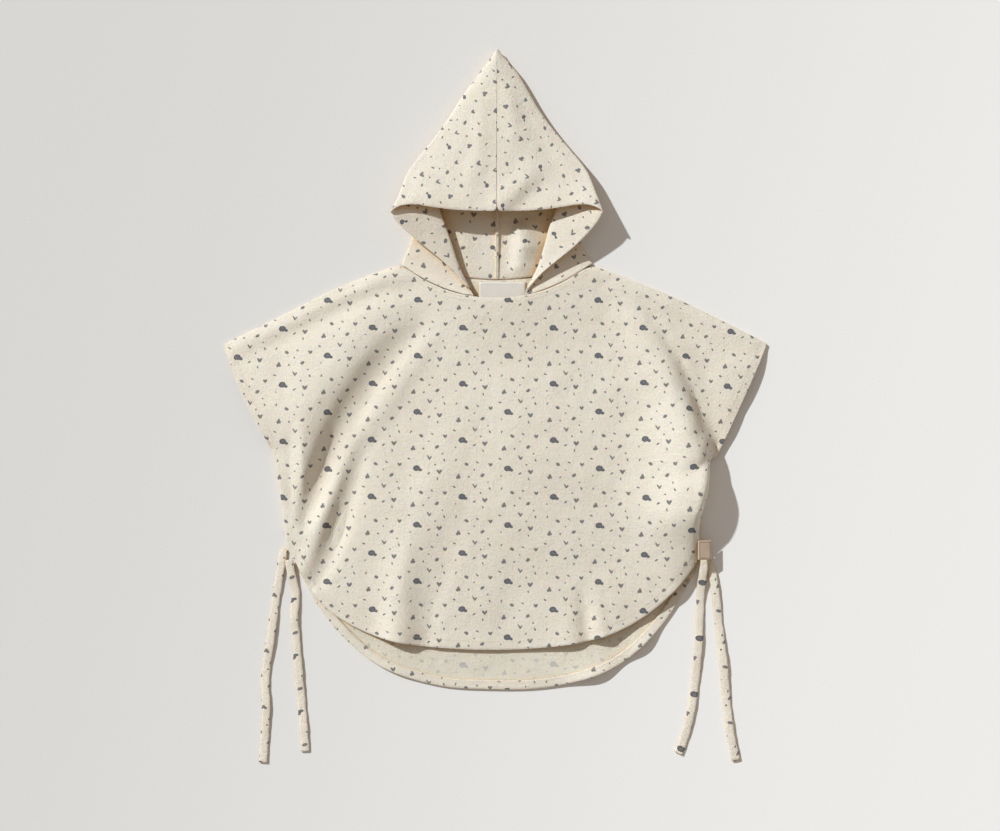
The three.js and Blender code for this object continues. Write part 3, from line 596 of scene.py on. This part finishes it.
def neckline(from_middle):
    """How far up the neckline of the front lies at a distance from the middle."""
    share = np.clip(from_middle / NECKLINE["half"], 0, 1)
    return NECKLINE["lowest"] + NECKLINE["rise"] * share ** NECKLINE["power"]


def inside_front(spots):
    """Fades the folds out at the side seams and at the shoulders, where the cloth is sewn down."""
    from_middle = np.abs(spots[:, 0])
    past_neck = np.clip(from_middle - SHOULDER["from"], 0, None)
    shoulder = SHOULDER["height"] - past_neck * SHOULDER["fall"] - spots[:, 1]
    neck = neckline(from_middle) - spots[:, 1]
    seam = np.clip(np.minimum(shoulder, neck) / SEAM_FADE, 0, 1)
    side = np.clip((SIDE_SEAM["from_middle"] - from_middle) / SIDE_SEAM["fade"], 0, 1)
    in_seam = np.minimum(SIDE_SEAM["top"] - spots[:, 1], spots[:, 1] - SIDE_SEAM["bottom"])
    beside = np.clip(in_seam / SIDE_SEAM["run_in"], 0, 1)
    return seam * (1 - beside * (1 - side))


front = cloth_from("front_panel", "front_cloth")
front_spots = get_spots(front)
front_spots[:, 2] += fold_heights(front_spots, FRONT_FOLDS) * inside_front(front_spots)
set_spots(front, front_spots)
above_surface(front)

# Hood. Two halves of doubled cloth, printed inside and out, are joined by one seam from the
# forehead over the point to the neck. It lies flat with its point away from the body, and its
# opening is folded into a pleat on each side. Its lower edge is sewn to the two necklines.
HOOD_SEAM_X = 0.0014
SEAM_PULL = 0.006
NECK_PULL = 0.005
NECK_SHIFT = 0.0011
NECK_FROM_Z = 0.003
TOP_LAYER = {"from_y": 0.168, "from_z": 0.010}
BACK_LAYER = {"to_y": 0.17, "to_z": 0.0045, "from_seam": 0.003}
POINT = {"from_y": 0.325, "length": 0.027, "narrower": 0.55}
HOOD_FOLDS = [
    {"fold": "right of the seam, slant", "left": 14, "right": 9, "line": [
        (4, 176, 2.5), (18, 188, 3), (34, 206, 2.5), (52, 222, 0)]},
    {"fold": "right half, hollow", "left": 10, "right": 12, "line": [
        (22, 176, -2), (36, 190, -2.5), (52, 202, -1.5), (66, 214, 0)]},
    {"fold": "left of the seam, soft", "left": 10, "right": 8, "line": [
        (-18, 300, 0), (-16, 268, 1.2), (-20, 232, 1.4), (-30, 196, 0.8), (-34, 178, 0)]},
    {"fold": "right edge, long dip", "left": 9, "right": 9, "line": [
        (22, 312, 0), (38, 272, -1.6), (56, 238, -1.8), (78, 206, -1.2), (92, 184, 0)]},
    {"fold": "right of the seam, upper", "left": 8, "right": 9, "line": [
        (10, 322, 0), (16, 290, 1.3), (20, 256, 1.2), (22, 226, 0)]},
]
BACK_LAYER_FOLDS = [
    {"fold": "inside, bright fold", "left": 20, "right": 6, "line": [
        (20, 164, 0), (24, 152, 9), (27, 134, 13), (26, 118, 8), (20, 102, 0)]},
    {"fold": "inside, left fold", "left": 9, "right": 7, "line": [
        (-38, 160, 0), (-36, 138, 1.8), (-30, 112, 1)]},
]


def sew_hood_half(piece, side):
    """Draws the sewn edges up to the centre seam and the neckline, so that the pieces meet, narrows
    the point and presses the folds in."""
    spots = get_spots(piece)
    away = (spots[:, 0] - HOOD_SEAM_X) * side
    top = (spots[:, 1] > TOP_LAYER["from_y"]) & (spots[:, 2] > TOP_LAYER["from_z"])
    low = (spots[:, 2] < BACK_LAYER["to_z"]) & (spots[:, 1] < BACK_LAYER["to_y"])
    low &= np.abs(away) > BACK_LAYER["from_seam"]
    spots[:, 2] += np.where(top, fold_heights(spots, HOOD_FOLDS), 0)
    spots[:, 2] += np.where(low, fold_heights(spots, BACK_LAYER_FOLDS), 0)
    point = np.clip((spots[:, 1] - POINT["from_y"]) / POINT["length"], 0, 1)
    away = away * (1 - POINT["narrower"] * point ** 2)
    first = away.min()
    near = away < SEAM_PULL
    away[near] = ((away - first) * SEAM_PULL / (SEAM_PULL - first) + 0.00002)[near]
    spots[:, 0] = HOOD_SEAM_X + side * away
    above = spots[:, 1] - neckline(np.abs(spots[:, 0]))
    near = (above < NECK_PULL) & (above > 0) & (spots[:, 2] > NECK_FROM_Z)
    spots[near, 1] -= (NECK_SHIFT * (1 - above / NECK_PULL))[near]
    set_spots(piece, spots)


for node, side in (("hood_left", -1), ("hood_right", 1)):
    half = cloth_from(node, f"{node}_cloth", outer=cotton_hood, inner=cotton_hood)
    sew_hood_half(half, side)
    above_surface(half)

# Neck label. A plain woven satin label is sewn into the back neckline and lies flat on the inside
# of the back panel. Its cut ends are folded under, and its long edges are the woven ones.
LABEL_SIZE = (0.0518, 0.0385, 0.0006)
LABEL_CENTRE = (0.0074, 0.07725, 0.0021)
TAPE_GRID = (20, 18)
TAPE_RIM = 0.003


def woven_tape(name, threads, light, dark, frame_line=None):
    """Narrow woven ribbon: fine threads both ways, a slight sheen and, if asked, a woven frame."""
    nodes = Nodes(name)
    place = nodes.add("ShaderNodeUVMap", uv_map="flat_tape")
    weft = {"Vector": place, "Scale": threads, "Distortion": 0.6}
    warp = {"Vector": place, "Scale": threads * 0.6, "Distortion": 1.0}
    ribs = nodes.add("ShaderNodeTexWave", weft, output=1, bands_direction="Y")
    cross = nodes.add("ShaderNodeTexWave", warp, output=1, bands_direction="X")
    patch = nodes.noise(place, 90.0, 3.0)
    uneven = nodes.math("ADD", nodes.math("MULTIPLY", ribs, 0.35), nodes.math("MULTIPLY", patch, 0.65))
    colour = nodes.mix(nodes.between(0.2, 0.8, uneven), dark, light)
    if frame_line:
        parts = nodes.add("ShaderNodeSeparateXYZ", {0: place})
        inner = [nodes.math("SUBTRACT", half, nodes.math("ABSOLUTE", parts.node.outputs[axis]))
                 for axis, half in enumerate(frame_line["half"])]
        from_edge = nodes.math("MINIMUM", *inner)
        off_line = nodes.math("ABSOLUTE", nodes.math("SUBTRACT", from_edge, frame_line["inset"]))
        on_line = nodes.between(frame_line["width"], 0.0, off_line)
        colour = nodes.mix(on_line, colour, frame_line["colour"])
    normal = nodes.bump(cross, 0.00008, nodes.bump(ribs, 0.00012))
    nodes.set({"Base Color": colour, "Roughness": 0.6, "Sheen Weight": 0.15, "Specular IOR Level": 0.3,
               "Normal": normal})
    return nodes.material


def flat_tape(name, size, place, folded, swell, material):
    """A closed tape with a rounded fold along its lower edge, or its right one, and a slight wave."""
    wide, high, thick = size
    columns, rows = TAPE_GRID
    bm = bmesh.new()
    uv = bm.loops.layers.uv.new("flat_tape")
    layers = []
    for sign in (1, -1):
        grid = []
        for i in range(rows + 1):
            line = []
            for j in range(columns + 1):
                u, v = 2 * j / columns - 1, 2 * i / rows - 1
                to_fold = (1 + v) * high / 2 if folded == "low" else (1 - u) * wide / 2
                bulge = math.sqrt(max(0.0, 1 - max(0.0, 1 - to_fold / thick) ** 2))
                rim = 0.62 + 0.38 * min(1.0, to_fold / TAPE_RIM)
                wave = swell * math.sin(3.1 * u + 1.0) * math.sin(2.3 * v + 0.4)
                z = sign * thick / 2 * bulge * rim + wave
                line.append(bm.verts.new((u * wide / 2, v * high / 2, z)))
            grid.append(line)
        layers.append(grid)
    top, bottom = layers
    faces = []
    for i in range(rows):
        for j in range(columns):
            for grid, order in ((top, 1), (bottom, -1)):
                corners = [grid[i][j], grid[i][j + 1], grid[i + 1][j + 1], grid[i + 1][j]]
                faces.append(bm.faces.new(corners[::order]))
    rim = [(i, 0) for i in range(rows)] + [(rows, j) for j in range(columns)]
    rim += [(rows - i, columns) for i in range(rows)] + [(0, columns - j) for j in range(columns)]
    for (a, b), (c, d) in zip(rim, rim[1:] + rim[:1]):
        faces.append(bm.faces.new((top[a][b], bottom[a][b], bottom[c][d], top[c][d])))
    for face in faces:
        for loop in face.loops:
            loop[uv].uv = loop.vert.co.xy
    bmesh.ops.remove_doubles(bm, verts=bm.verts, dist=1e-6)
    bmesh.ops.recalc_face_normals(bm, faces=bm.faces)
    bmesh.ops.transform(bm, matrix=place, verts=bm.verts)
    return add_piece(name, bm, [material])


label_tape = woven_tape("woven_label", 420.0, (0.86, 0.825, 0.775, 1), (0.77, 0.73, 0.68, 1))
label_place = Matrix.Translation(LABEL_CENTRE)
label = flat_tape("neck_label_woven", LABEL_SIZE, label_place, "low", 0.0, label_tape)
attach(label, "root")
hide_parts("neck_label")

# Side tag. A small plain tag of folded woven tape is caught in the right slit and lies over the
# side of the front, tipped down to the outside. A frame is woven in near its edge.
TAG_SIZE = (0.0164, 0.0211, 0.0012)
TAG_CENTRE = (0.2292, -0.19815, 0.0168)
TAG_TIP = 0.42

tag_frame = {"half": (TAG_SIZE[0] / 2, TAG_SIZE[1] / 2), "inset": 0.0018, "width": 0.0007,
             "colour": (0.30, 0.21, 0.15, 1)}
tag_tape = woven_tape("woven_tag", 360.0, (0.74, 0.60, 0.47, 1), (0.60, 0.46, 0.34, 1), tag_frame)
tag_place = Matrix.Translation(TAG_CENTRE) @ Matrix.Rotation(TAG_TIP, 4, "Y")
tag = flat_tape("side_tag_folded", TAG_SIZE, tag_place, "right", 0.00012, tag_tape)
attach(tag, "root")
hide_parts("side_tag")

# Stitching. Hems, neckline and label are sewn with cream thread in straight rows of short
# stitches, each a small loop that sinks into the cloth at both ends.
STITCH = {"length": 0.0024, "gap": 0.0008, "thread": 0.00042}
HEM_LINES = {
    # x and y in mm, as the edges of the solids
    "left_sleeve": [(-300, 27.7), (-277.5, -31), (-252.6, -78)],
    "right_sleeve": [(299.7, 28.5), (272.5, -33.5), (243, -97)],
    "front": [(-230.7, -195), (-220, -213), (-196, -254), (-154, -284.5), (-105, -300.5), (-46, -307.5),
              (27, -308), (101, -299), (151, -280), (192, -248), (218, -217), (226, -199)],
    "back": [(-230, -195), (-220, -215), (-195, -262), (-163.5, -299.5), (-126, -328), (-65, -348),
             (-18, -352), (62, -349.5), (132, -328), (179, -287), (208, -244.5), (224, -214),
             (228, -199)],
}
SLEEVE_HEM = 0.0085
FRONT_HEM = 0.0095
BACK_HEM = 0.0085
NECK_ROWS = (0.0022, 0.0062)
LABEL_TOP = [(-17.5, 94.5), (32.3, 94.5)]


def even_line(points, inward):
    """Evenly spaced places beside a smooth line through points in mm, inward metres to its left."""
    path = smooth_path([(x / 1000, y / 1000, 0) for x, y in points], 16)
    along = lengths_along(path)
    step = STITCH["length"] + STITCH["gap"]
    places = []
    distance, k = step / 2, 0
    while distance < along[-1]:
        while along[k + 1] < distance:
            k += 1
        ahead = (path[k + 1] - path[k]).normalized()
        spot = path[k].lerp(path[k + 1], (distance - along[k]) / (along[k + 1] - along[k]))
        places.append((spot + Vector((-ahead.y, ahead.x, 0)) * inward, ahead))
        distance += step
    return places


def stitch_row(name, places, cloth, above=True):
    """Lays one stitch at each place on the cloth's upper or lower side."""
    tree = BVHTree.FromPolygons([v.co for v in cloth.data.vertices],
                                [p.vertices for p in cloth.data.polygons])
    down = Vector((0, 0, -1 if above else 1))
    bm = bmesh.new()
    rings, sides = 5, 5
    for spot, ahead in places:
        start = Vector((spot.x, spot.y, 0.08 if above else -0.02))
        hit, normal, _, _ = tree.ray_cast(start, down)
        if hit is None:
            continue
        along = (ahead - normal * ahead.dot(normal)).normalized()
        across = normal.cross(along)
        loops = []
        for i in range(rings):
            t = 2 * i / (rings - 1) - 1
            swell = math.sqrt(max(0.0, 1 - 0.92 * t * t))
            height = STITCH["thread"] * (0.42 * swell - 0.2)
            centre = hit + along * t * STITCH["length"] / 2 + normal * height
            reach = STITCH["thread"] / 2 * (0.45 + 0.55 * swell)
            ring = []
            for k in range(sides):
                angle = 2 * math.pi * (k + 0.5) / sides
                outward = across * math.cos(angle) + normal * math.sin(angle)
                ring.append(bm.verts.new(centre + outward * reach))
            loops.append(ring)
        for ring, after in zip(loops, loops[1:]):
            for k in range(sides):
                bm.faces.new((ring[k], ring[(k + 1) % sides], after[(k + 1) % sides], after[k]))
        bm.faces.new(loops[0][::-1])
        bm.faces.new(loops[-1])
    bmesh.ops.recalc_face_normals(bm, faces=bm.faces)
    row = add_piece(name, bm, [cream_thread])
    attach(row, "root")
    return row


nodes = Nodes("cream_thread")
place = nodes.add("ShaderNodeTexCoord", output=3)
twist = nodes.noise(place, 2600.0, 2.0)
thread_colour = nodes.mix(twist, (0.66, 0.58, 0.47, 1), (0.84, 0.77, 0.66, 1))
nodes.set({"Base Color": thread_colour, "Roughness": 0.8, "Normal": nodes.bump(twist, 0.0001)})
cream_thread = nodes.material

sleeve_places = {
    "left_sleeve": even_line(HEM_LINES["left_sleeve"], SLEEVE_HEM),
    "right_sleeve": even_line(HEM_LINES["right_sleeve"], -SLEEVE_HEM),
}
front_places = even_line(HEM_LINES["front"], FRONT_HEM)[3:-3]
back_places = even_line(HEM_LINES["back"], BACK_HEM)[9:-9]
for hem, places in sleeve_places.items():
    stitch_row(f"{hem}_stitches", places, front)
stitch_row("front_hem_stitches", front_places, front)
stitch_row("back_hem_stitches", back_places, back_hem)
stitch_row("back_hem_underside", back_places, back, above=False)
for hem, places in sleeve_places.items():
    stitch_row(f"{hem}_underside", places, back, above=False)
for number, inset in enumerate(NECK_ROWS):
    for side, word in ((-1, "left"), (1, "right")):
        curve = []
        for k in range(13):
            x = 0.030 + 0.070 * k / 12
            curve.append((1000 * side * x, 1000 * neckline(x)))
        stitch_row(f"neckline_stitches_{word}_{number + 1}", even_line(curve, -inset * side), front)
stitch_row("label_stitches", even_line(LABEL_TOP, 0.0), label)

# Surface and light. The garment lies on a matt pale sheet, lit by one low lamp at the upper left,
# with soft light from all around. The sheet's colour carries painted light, brighter towards the lower right.
LAMP_HEIGHT = math.radians(36)

nodes = Nodes("pale_surface")
place = nodes.add("ShaderNodeTexCoord", output=3)
parts = nodes.add("ShaderNodeSeparateXYZ", {0: place})
across, upward = parts.node.outputs[0], parts.node.outputs[1]
# Painted light: the sheet's colour runs from darker at the upper left to brighter at the lower right, standing
# in for uneven light across it.
painted_light_terms = (nodes.math("MULTIPLY", across, 0.8), nodes.math("MULTIPLY", upward, 0.25))
painted_light_ramp = nodes.math("SUBTRACT", *painted_light_terms)
painted_light_colour = nodes.mix(nodes.between(-0.5, 0.6, painted_light_ramp), (0.75, 0.748, 0.745, 1), (0.93, 0.93, 0.935, 1))
grain = nodes.bump(nodes.noise(place, 900.0, 2.0), 0.0002)
nodes.set({"Base Color": painted_light_colour, "Roughness": 0.9, "Specular IOR Level": 0.15, "Normal": grain})
bm = bmesh.new()
bmesh.ops.create_grid(bm, x_segments=2, y_segments=2, size=4.0)
surface = add_piece("pale_surface", bm, [nodes.material], smooth=False)

lamp_data = bpy.data.lights.new("low_lamp", "SUN")
lamp_data.energy = 3.25
lamp_data.color = (0.95, 0.985, 1.0)
lamp_data.angle = math.radians(1.6)
lamp = bpy.data.objects.new("low_lamp", lamp_data)
level = math.cos(LAMP_HEIGHT)
toward = Vector((0.75 * level, -0.66 * level, -math.sin(LAMP_HEIGHT)))
lamp.rotation_euler = toward.to_track_quat("-Z", "Y").to_euler()
bpy.context.scene.collection.objects.link(lamp)
world = bpy.data.worlds.new("soft_light")
world.use_nodes = True
sky = world.node_tree.nodes["Background"]
sky.inputs[0].default_value = (1.0, 0.90, 0.80, 1)
sky.inputs[1].default_value = 0.345
bpy.context.scene.world = world
bpy.context.scene.view_settings.view_transform = "Standard"
